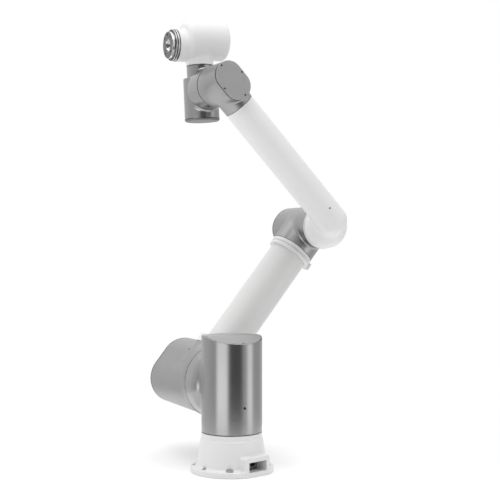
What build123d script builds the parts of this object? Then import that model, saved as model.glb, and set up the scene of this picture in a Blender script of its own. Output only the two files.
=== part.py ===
# Six-axis collaborative robot arm on a round base.
# Millimetres, +Z up. The origin is the centre of the base's bottom face, on the first joint's axis.
# The arm stands in its working pose: the upper arm leans towards +X, the forearm folds back over it.
from build123d import *
import os
from math import sin, cos, radians, sqrt

os.makedirs("parts", exist_ok=True)

# ---- driving dimensions -------------------------------------------------
flange_r, flange_t = 94.0, 13.0          # base flange
foot_r, neck_r = 80.5, 69.3              # pedestal at its foot and at its top
base_top = 88.2
bolt_pcd, bolt_r = 162.0, 4.5            # base bolt circle, M8 clearance
box_angle = -72.8                        # direction the connector box faces
box_w, box_h, box_front = 71.0, 43.0, 88.0
open_w, open_h, open_z = 51.0, 22.0, 21.3

can_r, can_z0, can_z1 = 69.0, 89.2, 306.0   # first joint housing
slope_y, slope_z = -6.0, 291.6           # the lid falls from slope_y to the front edge

j2_z, j2_r, j2_flat = 195.0, 85.8, 63.0  # second joint
j2_y0, j2_y1 = 73.2, 327.0
arm_y = 169.0                            # upper arm centre line
arm_lean = 38.5
arm_len = 462.6
tube_r = 47.6                            # upper arm tube
sock0, sock1, sock_r = 62.0, 86.0, 64.0  # lower collar
clamp0, clamp1, clamp_r = 373.0, 392.0, 55.3   # upper collar

j3_r, j3_flat = 53.0, 50.0               # third joint
j3_y0, j3_y1 = 93.0, 266.0

fore_y = 17.2                            # forearm centre line
fore_lean = -43.3
fore_len = 441.5
fore_r = 37.0
fore_off = -2.5                          # the tube sits this far to one side of the line between its joints
elbow_r, dome_y, elbow_y1, tube_end = 53.0, 78.0, 92.4, 22.0
fore_end = 380.0                         # where the forearm meets the first wrist

w1_r, w1_flat = 47.5, 33.0               # fourth joint
w1_y0, w1_y1 = -41.5, 54.4
w2_y = 145.0                             # fifth joint's axis
w2_lean = -2.7
w2_r = 41.5
w2_low, w2_high, w2_top = -71.0, 31.0, 60.5    # along the fifth axis from the fourth
out_r = 32.0
boss_r = 48.0
w3_h = 108.2                             # sixth axis above the fourth, along the fifth
head_r, head_up = 47.2, 13.5
head_end = 65.0
nose_r, nose_x = 38.0, -61.5
flange_face = 80.0
ring_r, disc_r = 37.4, 31.5              # tool flange, 63 mm disc
tool_pcd = 50.0

gap = 0.6                                # joint gap between two bodies
hub_play = 0.05                          # radial clearance of each hub in its bearing

# ---- frames -------------------------------------------------------------
s2, c2 = sin(radians(arm_lean)), cos(radians(arm_lean))
s3, c3 = sin(radians(fore_lean)), cos(radians(fore_lean))
s5, c5 = sin(radians(w2_lean)), cos(radians(w2_lean))
sb, cb = sin(radians(box_angle)), cos(radians(box_angle))

j3_x, j3_z = arm_len * s2, j2_z + arm_len * c2
j4_x, j4_z = j3_x + fore_len * s3, j3_z + fore_len * c3


def arm(t, y=arm_y):
    """Across the upper arm, t along it from the second joint."""
    return Plane(origin=(s2 * t, y, j2_z + c2 * t), x_dir=(c2, 0, -s2), z_dir=(s2, 0, c2))


def fore(t, y=fore_y):
    """Across the forearm, t along it from the third joint."""
    return Plane(origin=(j3_x + s3 * t + c3 * fore_off, y, j3_z + c3 * t - s3 * fore_off),
                 x_dir=(c3, 0, -s3), z_dir=(s3, 0, c3))


def wrist(t, y=w2_y):
    """Across the fifth axis, t along it from the fourth joint."""
    return Plane(origin=(j4_x + s5 * t, y, j4_z + c5 * t), x_dir=(c5, 0, -s5), z_dir=(s5, 0, c5))


def second(y):
    """Facing +Y on the second joint's axis, with x across the upper arm."""
    return Plane(origin=(0, y, j2_z), x_dir=(c2, 0, -s2), z_dir=(0, 1, 0))


def third(y, lean=arm_lean):
    """Facing +Y on the third joint's axis."""
    a = radians(lean)
    return Plane(origin=(j3_x, y, j3_z), x_dir=(cos(a), 0, -sin(a)), z_dir=(0, 1, 0))


def fourth(y, lean=fore_lean):
    """Facing +Y on the fourth joint's axis."""
    a = radians(lean)
    return Plane(origin=(j4_x, y, j4_z), x_dir=(cos(a), 0, -sin(a)), z_dir=(0, 1, 0))


def sixth(d, up=0.0):
    """Across the sixth axis, d from the fifth axis towards the tool."""
    h = w3_h + up
    return Plane(origin=(j4_x + s5 * h - c5 * d, w2_y, j4_z + c5 * h + s5 * d),
                 x_dir=(0, 1, 0), z_dir=(-c5, 0, s5))


def finish(part, label):
    part.label = label
    export_step(part, f"parts/{label}.step")


# ---- base ---------------------------------------------------------------
hub1_r, hub1_top = 30.0, can_z0 + 24.0
box_plane = Plane(origin=(0, 0, 0), x_dir=(-sb, cb, 0), z_dir=(cb, sb, 0))

with BuildPart() as base_casting:
    with BuildSketch(Plane.XZ):
        with BuildLine():
            Polyline((flange_r, 0), (flange_r, flange_t - 1.5), (flange_r - 1.5, flange_t),
                     (foot_r + 4.0, flange_t))
            RadiusArc((foot_r + 4.0, flange_t), (foot_r - 0.6, flange_t + 4.4), 5.2)
            Polyline((foot_r - 0.6, flange_t + 4.4), (neck_r + 1.2, base_top - 13.0),
                     (neck_r, base_top - 11.5), (neck_r, base_top - 0.8), (neck_r - 0.8, base_top),
                     (hub1_r, base_top), (hub1_r, hub1_top - 1), (hub1_r - 1, hub1_top),
                     (22.0, hub1_top), (22.0, 70.0), (56.0, 64.0), (60.0, 50.0), (60.0, 5.0),
                     (64.0, 5.0), (64.0, 0), (flange_r, 0))
        make_face()
    revolve(axis=Axis.Z)
    # connector box on the front
    with BuildSketch(box_plane.offset(58.0)):
        with Locations((0, box_h / 2)):
            Rectangle(box_w, box_h)
        fillet(vertices().group_by(Axis.Z)[-1], 5.0)
    extrude(amount=box_front - 58.0)
    # the flange is cut flat in front of the box
    with BuildSketch(box_plane.offset(box_front)):
        with Locations((0, flange_t / 2)):
            Rectangle(2 * flange_r, 3 * flange_t)
    extrude(amount=20.0, mode=Mode.SUBTRACT)
    with BuildSketch(box_plane.offset(40.0)):
        with Locations((0, open_z)):
            RectangleRounded(open_w, open_h, 1.5)
    extrude(amount=60.0, mode=Mode.SUBTRACT)
    # four bolt holes and two pin holes, each with a spot face cut into the pedestal's foot
    bolt_spots = [box_angle + a for a in (45, 135, 225, 315)]
    for a in bolt_spots:
        p = (bolt_pcd / 2 * cos(radians(a)), bolt_pcd / 2 * sin(radians(a)))
        with BuildSketch(Plane.XY.offset(-1)):
            with Locations(p):
                Circle(bolt_r)
        extrude(amount=flange_t + 7, mode=Mode.SUBTRACT)
        with BuildSketch(Plane.XY.offset(flange_t - 3.0)):
            with Locations(p):
                Circle(8.2)
        extrude(amount=9.0, mode=Mode.SUBTRACT)
    for a in (box_angle + 90, box_angle - 90):
        p = (bolt_pcd / 2 * cos(radians(a)), bolt_pcd / 2 * sin(radians(a)))
        with BuildSketch(Plane.XY.offset(-1)):
            with Locations(p):
                Circle(3.0)
        extrude(amount=flange_t + 5, mode=Mode.SUBTRACT)
        with BuildSketch(Plane.XY.offset(flange_t - 2.0)):
            with Locations(p):
                Circle(6.0)
        extrude(amount=6.0, mode=Mode.SUBTRACT)
finish(base_casting.part, "base_casting")

with BuildPart() as base_connector_panel:
    with BuildSketch(box_plane.offset(53.0)):
        with Locations((0, open_z)):
            RectangleRounded(open_w - 0.6, open_h - 0.6, 1.2)
            with Locations((-13.0, 0)):
                Circle(6.6, mode=Mode.SUBTRACT)
            with Locations((11.0, 0)):
                Circle(4.1, mode=Mode.SUBTRACT)
    extrude(amount=3.0)
finish(base_connector_panel.part, "base_connector_panel")

with BuildPart() as base_connector_socket:
    with BuildSketch(box_plane.offset(47.0)):
        with Locations((-13.0, open_z)):
            Circle(6.5)
    extrude(amount=13.0)
    with BuildSketch(box_plane.offset(56.1)):
        with Locations((-13.0, open_z)):
            Circle(9.0)
            Circle(6.5, mode=Mode.SUBTRACT)
    extrude(amount=2.5)
    with BuildSketch(box_plane.offset(52.0)):
        with Locations((-13.0, open_z)):
            Circle(5.0)
    extrude(amount=20.0, mode=Mode.SUBTRACT)
finish(base_connector_socket.part, "base_connector_socket")

with BuildPart() as base_signal_socket:
    with BuildSketch(box_plane.offset(49.0)):
        with Locations((11.0, open_z)):
            Circle(4.0)
    extrude(amount=12.0)
    with BuildSketch(box_plane.offset(56.1)):
        with Locations((11.0, open_z)):
            RegularPolygon(6.2, 6)
            Circle(4.0, mode=Mode.SUBTRACT)
    extrude(amount=2.0)
    with BuildSketch(box_plane.offset(53.0)):
        with Locations((11.0, open_z)):
            Circle(2.8)
    extrude(amount=20.0, mode=Mode.SUBTRACT)
finish(base_signal_socket.part, "base_signal_socket")

# ---- shoulder: the first joint's housing --------------------------------
ang = (can_z1 - slope_z) / (can_r + slope_y)      # fall per mm towards the front
top_line = [(-can_r - 5, slope_z - 5 * ang), (slope_y, can_z1), (can_r + 5, can_z1)]
boss_y0, boss_y1 = 25.0, j2_y0 - gap
hub2_r, hub2_end = 34.0, j2_y0 + 26.0

with BuildPart() as shoulder_housing:
    with BuildSketch(Plane.YZ.offset(-100)):
        Polygon((-can_r - 5, can_z0), *top_line, (can_r + 5, can_z0), align=None)
    extrude(amount=200)
    with BuildSketch(Plane.XY.offset(can_z0)):
        Circle(can_r)
    extrude(amount=can_z1 - can_z0, mode=Mode.INTERSECT)
    # horizontal boss that carries the second joint
    with BuildSketch(second(boss_y0)):
        Circle(j2_r)
    extrude(amount=boss_y1 - boss_y0)
    with BuildSketch(second(boss_y1)):
        Circle(hub2_r)
    extrude(amount=hub2_end - boss_y1)
    # hollow: the can, its mouth and the boss
    with BuildSketch(Plane.XY.offset(can_z0 + 6)):
        Circle(62.0)
    extrude(amount=176.0, mode=Mode.SUBTRACT)
    with BuildSketch(Plane.XY.offset(can_z0 + 100)):
        Circle(55.0)
    extrude(amount=150.0, mode=Mode.SUBTRACT)
    with BuildSketch(Plane.XY.offset(can_z0 - 1)):
        Circle(hub1_r + 0.5)
    extrude(amount=20.0, mode=Mode.SUBTRACT)
    with BuildSketch(second(20.0)):
        Circle(76.0)
    extrude(amount=boss_y1 - 7 - 20.0, mode=Mode.SUBTRACT)
    with BuildSketch(second(20.0)):
        Circle(25.0)
    extrude(amount=100.0, mode=Mode.SUBTRACT)
    # seat for the lid
    with BuildSketch(Plane.YZ.offset(-100)):
        Polygon((-can_r - 5, slope_z - 5 * ang - 5), (slope_y, can_z1 - 5), (can_r + 5, can_z1 - 5),
                (can_r + 5, can_z1 + 9), (-can_r - 5, can_z1 + 9), align=None)
    lid_cut = extrude(amount=200, mode=Mode.PRIVATE)
    with BuildSketch(Plane.XY.offset(can_z0 + 150)):
        Circle(66.4)
    seat = extrude(amount=100, mode=Mode.PRIVATE)
    add(lid_cut & seat, mode=Mode.SUBTRACT)
    # earth screw hole in the front
    with BuildSketch(Plane.XZ.offset(50)):
        with Locations((0, 149.7)):
            Circle(2.6)
    extrude(amount=30, mode=Mode.SUBTRACT)
finish(shoulder_housing.part, "shoulder_housing")

with BuildPart() as shoulder_lid:
    with BuildSketch(Plane.YZ.offset(-100)):
        Polygon((-can_r - 5, slope_z - 5 * ang - 4.9), (slope_y, can_z1 - 4.9), (can_r + 5, can_z1 - 4.9),
                (can_r + 5, can_z1), (slope_y, can_z1), (-can_r - 5, slope_z - 5 * ang), align=None)
    extrude(amount=200)
    with BuildSketch(Plane.XY.offset(can_z0 + 150)):
        Circle(66.1)
    extrude(amount=100, mode=Mode.INTERSECT)
    for x, y in ((61.5, 0), (-61.5, 0), (0, 61.5)):
        with BuildSketch(Plane.XY.offset(can_z1 - 2.5)):
            with Locations((x, y)):
                Circle(3.0)
        extrude(amount=20, mode=Mode.SUBTRACT)
        with BuildSketch(Plane.XY.offset(can_z1 - 20)):
            with Locations((x, y)):
                Circle(1.7)
        extrude(amount=40, mode=Mode.SUBTRACT)
    front_screw = Plane(origin=(0, -61.5, can_z1 - (61.5 + slope_y) * ang), x_dir=(1, 0, 0),
                        z_dir=(0, -ang / sqrt(1 + ang * ang), 1 / sqrt(1 + ang * ang)))
    with BuildSketch(front_screw.offset(-2.5)):
        Circle(3.0)
    extrude(amount=20, mode=Mode.SUBTRACT)
    with BuildSketch(front_screw.offset(-15)):
        Circle(1.7)
    extrude(amount=30, mode=Mode.SUBTRACT)
finish(shoulder_lid.part, "shoulder_lid")

lid_screw_planes = [Plane(origin=(x, y, can_z1), x_dir=(1, 0, 0), z_dir=(0, 0, 1))
                    for x, y in ((61.5, 0), (-61.5, 0), (0, 61.5))] + [front_screw]
with BuildPart() as shoulder_lid_screws:
    for p in lid_screw_planes:
        with BuildSketch(p.offset(-2.4)):
            Circle(2.8)
        extrude(amount=2.0)
        with BuildSketch(p.offset(-4.85)):
            Circle(1.6)
        extrude(amount=2.6)
        with BuildSketch(p.offset(-1.5)):
            RegularPolygon(1.3, 6)
        extrude(amount=2.0, mode=Mode.SUBTRACT)
finish(shoulder_lid_screws.part, "shoulder_lid_screws")

with BuildPart() as shoulder_earth_screw:
    with BuildSketch(Plane.XZ.offset(63.0)):
        with Locations((0, 149.7)):
            Circle(2.5)
    extrude(amount=4.4)
    with BuildSketch(Plane.XZ.offset(65.4)):
        with Locations((0, 149.7)):
            RegularPolygon(1.3, 6)
    extrude(amount=5.0, mode=Mode.SUBTRACT)
finish(shoulder_earth_screw.part, "shoulder_earth_screw")

# ---- upper arm: second joint's housing, tube and third joint's housing ---
with BuildPart() as joint_2_housing:
    with BuildSketch(second(j2_y0)):
        Circle(j2_r)
    extrude(amount=30.0)
    with BuildSketch(second(j2_y0 + 10)):
        SlotOverall(2 * j2_r, 2 * j2_flat, rotation=90)
    extrude(amount=j2_y1 - 5.0 - j2_y0 - 10)
    with BuildSketch(arm(0)):
        Circle(j2_flat)
    extrude(amount=sock0)
    # pocket for the lower collar
    with BuildSketch(arm(sock0)):
        Circle(sock_r + 0.3)
    extrude(amount=60.0, mode=Mode.SUBTRACT)
    # hollow for the drive, open at the lid
    with BuildSketch(second(j2_y0 + 6)):
        SlotOverall(2 * (j2_r - 6), 2 * (j2_flat - 6), rotation=90)
    extrude(amount=300.0, mode=Mode.SUBTRACT)
    with BuildSketch(second(j2_y0 - 1)):
        Circle(hub2_r + 0.5)
    extrude(amount=20.0, mode=Mode.SUBTRACT)
    with BuildSketch(arm(30)):
        Circle(36.0)
    extrude(amount=80.0, mode=Mode.SUBTRACT)
    # plug hole on the flat
    with BuildSketch(Plane(origin=(0, arm_y + 20, j2_z), x_dir=(s2, 0, c2), z_dir=(-c2, 0, s2)).offset(40)):
        with Locations((33, 0)):
            Circle(3.6)
    extrude(amount=40, mode=Mode.SUBTRACT)
finish(joint_2_housing.part, "joint_2_housing")

with BuildPart() as joint_2_plug_screw:
    with BuildSketch(Plane(origin=(0, arm_y + 20, j2_z), x_dir=(s2, 0, c2), z_dir=(-c2, 0, s2)).offset(58)):
        with Locations((33, 0)):
            Circle(3.5)
    extrude(amount=3.2)
    with BuildSketch(Plane(origin=(0, arm_y + 20, j2_z), x_dir=(s2, 0, c2), z_dir=(-c2, 0, s2)).offset(59.6)):
        with Locations((33, 0)):
            RegularPolygon(1.7, 6)
    extrude(amount=10, mode=Mode.SUBTRACT)
finish(joint_2_plug_screw.part, "joint_2_plug_screw")

with BuildPart() as joint_2_lid:
    with BuildSketch(second(j2_y1 - 4.8)):
        SlotOverall(2 * j2_r, 2 * j2_flat, rotation=90)
    extrude(amount=4.8)
    chamfer(faces().sort_by(Axis.Y)[-1].edges(), 1.5)
    with Locations(second(j2_y1)):
        with Locations((0, 74), (0, -74), (54, 0), (-54, 0)):
            CounterBoreHole(1.7, 3.2, 2.6)
finish(joint_2_lid.part, "joint_2_lid")

with BuildPart() as joint_2_lid_screws:
    for x, y in ((0, 74), (0, -74), (54, 0), (-54, 0)):
        with BuildSketch(second(j2_y1 - 2.5)):
            with Locations((x, y)):
                Circle(3.0)
        extrude(amount=2.1)
        with BuildSketch(second(j2_y1 - 4.75)):
            with Locations((x, y)):
                Circle(1.6)
        extrude(amount=2.4)
        with BuildSketch(second(j2_y1 - 1.8)):
            with Locations((x, y)):
                RegularPolygon(1.4, 6)
        extrude(amount=3, mode=Mode.SUBTRACT)
finish(joint_2_lid_screws.part, "joint_2_lid_screws")

with BuildPart() as upper_arm_lower_collar:
    with BuildSketch(arm(sock0 + 0.05)):
        Circle(sock_r)
        Circle(tube_r + 0.1, mode=Mode.SUBTRACT)
    extrude(amount=sock1 - sock0)
    fillet(edges().filter_by(GeomType.CIRCLE).filter_by(
        lambda e: abs(e.radius - sock_r) < 0.1).sort_by(Axis.Z)[-1], 5.0)
finish(upper_arm_lower_collar.part, "upper_arm_lower_collar")

with BuildPart() as upper_arm_tube:
    with BuildSketch(arm(sock0 + 0.1)):
        Circle(tube_r)
        Circle(tube_r - 4.0, mode=Mode.SUBTRACT)
    extrude(amount=clamp1 - 0.6 - sock0)
finish(upper_arm_tube.part, "upper_arm_tube")

# two-rib clamp ring with an ear and its screw
with BuildPart() as upper_arm_clamp_ring:
    with BuildSketch(Plane(origin=(0, arm_y, j2_z), x_dir=(c2, 0, -s2), z_dir=(0, -1, 0))):
        with BuildLine():
            Polyline((tube_r + 0.1, clamp0), (clamp_r - 1.5, clamp0), (clamp_r, clamp0 + 1.5),
                     (clamp_r, clamp0 + 6.5), (clamp_r - 3.0, clamp0 + 8.0), (clamp_r - 3.0, clamp0 + 10.0),
                     (clamp_r, clamp0 + 11.5), (clamp_r, clamp1 - 1.5), (clamp_r - 1.2, clamp1),
                     (tube_r + 0.1, clamp1), (tube_r + 0.1, clamp0))
        make_face()
    revolve(axis=Axis(origin=(0, arm_y, j2_z), direction=(s2, 0, c2)))
    with BuildSketch(arm(clamp0 + 1)):
        with Locations((tube_r + 7.5, -8.0)):
            RectangleRounded(12.0, 20.0, 3.0)
        Circle(tube_r + 2, mode=Mode.SUBTRACT)
    extrude(amount=clamp1 - clamp0 - 3)
finish(upper_arm_clamp_ring.part, "upper_arm_clamp_ring")

hub3_r, hub3_end = 26.0, j3_y0 + 24.0
with BuildPart() as joint_3_housing:
    with BuildSketch(third(j3_y0)):
        Circle(j3_r)
    extrude(amount=arm_y - j3_y0)
    with BuildSketch(third(arm_y - 10)):
        SlotOverall(2 * j3_r, 2 * j3_flat, rotation=90)
    extrude(amount=j3_y1 - 4.5 - arm_y + 10)
    with BuildSketch(arm(clamp1 + 0.1)):
        Circle(clamp_r - 0.5)
    extrude(amount=arm_len - clamp1)
    with BuildSketch(third(j3_y0 + 5)):
        Circle(45.0)
    extrude(amount=300.0, mode=Mode.SUBTRACT)
    with BuildSketch(third(j3_y0 - 1)):
        Circle(hub3_r + 0.5)
    extrude(amount=20.0, mode=Mode.SUBTRACT)
    with BuildSketch(arm(clamp1 - 10)):
        Circle(34.0)
    extrude(amount=60.0, mode=Mode.SUBTRACT)
finish(joint_3_housing.part, "joint_3_housing")

with BuildPart() as joint_3_lid:
    with BuildSketch(third(j3_y1 - 4.3)):
        SlotOverall(2 * j3_r, 2 * j3_flat, rotation=90)
    extrude(amount=4.3)
    chamfer(faces().sort_by(Axis.Y)[-1].edges(), 1.2)
    with Locations(third(j3_y1)):
        with Locations((0, 47), (0, -47), (42, 0), (-42, 0)):
            CounterBoreHole(1.5, 2.8, 2.2)
finish(joint_3_lid.part, "joint_3_lid")

with BuildPart() as joint_3_lid_screws:
    for x, y in ((0, 47), (0, -47), (42, 0), (-42, 0)):
        with BuildSketch(third(j3_y1 - 2.1)):
            with Locations((x, y)):
                Circle(2.6)
        extrude(amount=1.8)
        with BuildSketch(third(j3_y1 - 4.25)):
            with Locations((x, y)):
                Circle(1.4)
        extrude(amount=2.3)
        with BuildSketch(third(j3_y1 - 1.4)):
            with Locations((x, y)):
                RegularPolygon(1.2, 6)
        extrude(amount=3, mode=Mode.SUBTRACT)
finish(joint_3_lid_screws.part, "joint_3_lid_screws")

# ---- forearm ------------------------------------------------------------
with BuildPart() as forearm_shell:
    # the elbow: a dome facing forward on a short round back
    with Locations((j3_x, dome_y, j3_z)):
        Sphere(elbow_r)
    with BuildSketch(third(dome_y, fore_lean)):
        Circle(elbow_r + 20)
    extrude(amount=-elbow_r - 5, mode=Mode.INTERSECT)
    with BuildSketch(third(dome_y, fore_lean)):
        Circle(elbow_r)
    extrude(amount=elbow_y1 - 4.4 - dome_y)
    # the tube, with a round lower end that runs into the dome
    with BuildSketch(fore(tube_end)):
        Circle(fore_r)
    extrude(amount=fore_end - tube_end)
    with Locations(fore(tube_end)):
        Sphere(fore_r)
    # hollow
    with Locations((j3_x, dome_y, j3_z)):
        Sphere(elbow_r - 7.0, mode=Mode.SUBTRACT)
    with BuildSketch(fore(tube_end)):
        Circle(fore_r - 5.0)
    extrude(amount=fore_len, mode=Mode.SUBTRACT)
    with Locations(fore(tube_end)):
        Sphere(fore_r - 5.0, mode=Mode.SUBTRACT)
    # back wall with the hub that runs in the third joint's bearing
    with BuildSketch(third(elbow_y1 - 12, fore_lean)):
        Circle(elbow_r - 1.0)
    extrude(amount=12 - 4.4)
    with BuildSketch(third(elbow_y1 - 5, fore_lean)):
        Circle(hub3_r)
    extrude(amount=hub3_end - elbow_y1 + 5)
    with BuildSketch(third(elbow_y1 - 20, fore_lean)):
        Circle(18.0)
    extrude(amount=200, mode=Mode.SUBTRACT)
    with BuildSketch(Plane(origin=(j3_x + 59.3 * s3, fore_y, j3_z + 59.3 * c3), x_dir=(1, 0, 0), z_dir=(0, -1, 0)).offset(20)):
        Circle(2.4)
    extrude(amount=30, mode=Mode.SUBTRACT)
finish(forearm_shell.part, "forearm_shell")

with BuildPart() as forearm_elbow_rim:
    with BuildSketch(third(elbow_y1 - 4.3, fore_lean)):
        Circle(elbow_r + 1.2)
        Circle(hub3_r + 0.1, mode=Mode.SUBTRACT)
    extrude(amount=4.2)
    fillet(edges().filter_by(GeomType.CIRCLE).filter_by(lambda e: e.radius > elbow_r), 1.4)
finish(forearm_elbow_rim.part, "forearm_elbow_rim")

with BuildPart() as forearm_plug_screw:
    with BuildSketch(Plane(origin=(j3_x + 59.3 * s3, fore_y, j3_z + 59.3 * c3), x_dir=(1, 0, 0), z_dir=(0, -1, 0)).offset(31.8)):
        Circle(2.3)
    extrude(amount=3.2)
    with BuildSketch(Plane(origin=(j3_x + 59.3 * s3, fore_y, j3_z + 59.3 * c3), x_dir=(1, 0, 0), z_dir=(0, -1, 0)).offset(33.2)):
        RegularPolygon(1.2, 6)
    extrude(amount=10, mode=Mode.SUBTRACT)
finish(forearm_plug_screw.part, "forearm_plug_screw")

hub4_r, hub4_end = 20.0, w1_y1 - 20.0
with BuildPart() as wrist_1_housing:
    with BuildSketch(fourth(fore_y - 16)):
        Circle(w1_r)
    extrude(amount=w1_y1 - fore_y + 16)
    with BuildSketch(fourth(w1_y0 + 4.4)):
        SlotOverall(2 * w1_r, 2 * w1_flat, rotation=90)
    extrude(amount=60.0)
    with BuildSketch(fore(fore_end + 0.1)):
        Circle(fore_r)
    extrude(amount=fore_len - fore_end)
    with BuildSketch(fourth(w1_y0)):
        SlotOverall(2 * (w1_r - 4), 2 * (w1_flat - 4), rotation=90)
    extrude(amount=w1_y1 - 4 - w1_y0, mode=Mode.SUBTRACT)
    with BuildSketch(fourth(w1_y1 - 10)):
        Circle(hub4_r + 0.5)
    extrude(amount=20.0, mode=Mode.SUBTRACT)
    with BuildSketch(fore(fore_end - 10)):
        Circle(22.0)
    extrude(amount=40.0, mode=Mode.SUBTRACT)
finish(wrist_1_housing.part, "wrist_1_housing")

w1_spots = ((0, 42.5), (0, -42.5), (29.0, 0), (-29.0, 0))
with BuildPart() as wrist_1_lid:
    with BuildSketch(fourth(w1_y0)):
        SlotOverall(2 * w1_r, 2 * w1_flat, rotation=90)
    extrude(amount=4.0)
    chamfer(faces().sort_by(Axis.Y)[0].edges(), 0.8)
    for x, y in w1_spots:
        with BuildSketch(fourth(w1_y0 - 1)):
            with Locations((x, y)):
                Circle(2.3)
        extrude(amount=3.0, mode=Mode.SUBTRACT)
        with BuildSketch(fourth(w1_y0 - 1)):
            with Locations((x, y)):
                Circle(1.3)
        extrude(amount=8.0, mode=Mode.SUBTRACT)
finish(wrist_1_lid.part, "wrist_1_lid")

with BuildPart() as wrist_1_lid_screws:
    for x, y in w1_spots:
        with BuildSketch(fourth(w1_y0 + 0.4)):
            with Locations((x, y)):
                Circle(2.1)
        extrude(amount=1.5)
        with BuildSketch(fourth(w1_y0 + 1.5)):
            with Locations((x, y)):
                Circle(1.2)
        extrude(amount=2.4)
        with BuildSketch(fourth(w1_y0 - 1)):
            with Locations((x, y)):
                RegularPolygon(1.0, 6)
        extrude(amount=2.2, mode=Mode.SUBTRACT)
finish(wrist_1_lid_screws.part, "wrist_1_lid_screws")

# ---- wrist 2 ------------------------------------------------------------
hub5_r, hub5_end = 15.0, w2_top - 18.0
with BuildPart() as wrist_2_housing:
    with BuildSketch(wrist(w2_low + 5)):
        Circle(w2_r)
    extrude(amount=w2_high - w2_low - 5)
    chamfer(edges().filter_by(GeomType.CIRCLE).sort_by(Axis.Z)[-1], 2.0)
    with BuildSketch(wrist(w2_high - 5)):
        Circle(out_r)
    extrude(amount=w2_top - w2_high + 5)
    # boss that carries the fourth joint
    with BuildSketch(fourth(w1_y1 + gap, w2_lean)):
        Circle(boss_r)
    extrude(amount=w2_y - w1_y1 - gap - 26)
    with BuildSketch(fourth(w1_y1 + gap + 30, w2_lean)):
        Circle(boss_r)
    extrude(amount=40, taper=32)
    with BuildSketch(fourth(hub4_end, w2_lean)):
        Circle(hub4_r)
    extrude(amount=w1_y1 + gap + 5 - hub4_end)
    # hollow
    with BuildSketch(wrist(w2_low)):
        Circle(w2_r - 5)
    extrude(amount=w2_high - 5 - w2_low, mode=Mode.SUBTRACT)
    with BuildSketch(wrist(0)):
        Circle(out_r - 4)
    extrude(amount=w2_top - 4, mode=Mode.SUBTRACT)
    with BuildSketch(wrist(w2_top - 8)):
        Circle(hub5_r + 0.5)
    extrude(amount=20, mode=Mode.SUBTRACT)
    with BuildSketch(fourth(hub4_end - 1, w2_lean)):
        Circle(12.0)
    extrude(amount=90, mode=Mode.SUBTRACT)
    with BuildSketch(fourth(w1_y1 + gap + 6, w2_lean)):
        Circle(36.0)
    extrude(amount=34, mode=Mode.SUBTRACT)
finish(wrist_2_housing.part, "wrist_2_housing")

with BuildPart() as wrist_2_lid:
    with BuildSketch(wrist(w2_low)):
        Circle(w2_r)
    extrude(amount=4.8)
    chamfer(edges().filter_by(GeomType.CIRCLE).sort_by(Axis.Z)[0], 2.5)
    for x, y in ((33, 0), (-33, 0), (0, 33), (0, -33)):
        with BuildSketch(wrist(w2_low - 1)):
            with Locations((x, y)):
                Circle(2.5)
        extrude(amount=3.2, mode=Mode.SUBTRACT)
        with BuildSketch(wrist(w2_low - 1)):
            with Locations((x, y)):
                Circle(1.3)
        extrude(amount=9, mode=Mode.SUBTRACT)
finish(wrist_2_lid.part, "wrist_2_lid")

with BuildPart() as wrist_2_lid_screws:
    for x, y in ((33, 0), (-33, 0), (0, 33), (0, -33)):
        with BuildSketch(wrist(w2_low + 0.4)):
            with Locations((x, y)):
                Circle(2.3)
        extrude(amount=1.7)
        with BuildSketch(wrist(w2_low + 1.8)):
            with Locations((x, y)):
                Circle(1.2)
        extrude(amount=2.8)
        with BuildSketch(wrist(w2_low - 1)):
            with Locations((x, y)):
                RegularPolygon(1.1, 6)
        extrude(amount=2.4, mode=Mode.SUBTRACT)
finish(wrist_2_lid_screws.part, "wrist_2_lid_screws")

# ---- wrist 3: the head --------------------------------------------------
hub6_r, hub6_end = 15.0, -nose_x - 20.0
with BuildPart() as wrist_3_housing:
    with BuildSketch(sixth(-head_end, head_up)):
        Circle(head_r)
    extrude(amount=head_end + 41.0)
    fillet(edges().filter_by(GeomType.CIRCLE).sort_by(Axis.X)[-1], 9.0)
    fillet(edges().filter_by(GeomType.CIRCLE).sort_by(Axis.X)[0], 17.0)
    with BuildSketch(sixth(0)):
        Circle(nose_r)
    extrude(amount=-nose_x)
    fillet(faces().sort_by(Axis.X)[0].edges().filter_by(lambda e: e.center().X < j4_x - 50), 1.5)
    with BuildSketch(wrist(w2_top + gap)):
        Circle(out_r + 0.6)
    extrude(amount=w3_h - w2_top)
    # hub that runs in the fifth joint's bearing
    with BuildSketch(wrist(hub5_end)):
        Circle(hub5_r)
    extrude(amount=30.0)
    # hollow
    with BuildSketch(sixth(-head_end + 8, 2.0)):
        Circle(32.0)
    extrude(amount=head_end - 8 - nose_x - 4, mode=Mode.SUBTRACT)
    with BuildSketch(sixth(0)):
        Circle(hub6_r + 0.5)
    extrude(amount=90, mode=Mode.SUBTRACT)
    with BuildSketch(wrist(hub5_end - 1)):
        Circle(9.0)
    extrude(amount=60, mode=Mode.SUBTRACT)
finish(wrist_3_housing.part, "wrist_3_housing")

# ---- tool flange --------------------------------------------------------
with BuildPart() as tool_flange_ring:
    with BuildSketch(sixth(-nose_x + gap)):
        Circle(ring_r)
    extrude(amount=10.4)
    chamfer(edges().filter_by(GeomType.CIRCLE), 1.2)
    with BuildSketch(sixth(hub6_end)):
        Circle(hub6_r)
    extrude(amount=-nose_x + gap + 2 - hub6_end)
    with BuildSketch(sixth(hub6_end - 1)):
        Circle(10.0)
    extrude(amount=60, mode=Mode.SUBTRACT)
finish(tool_flange_ring.part, "tool_flange_ring")

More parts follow.
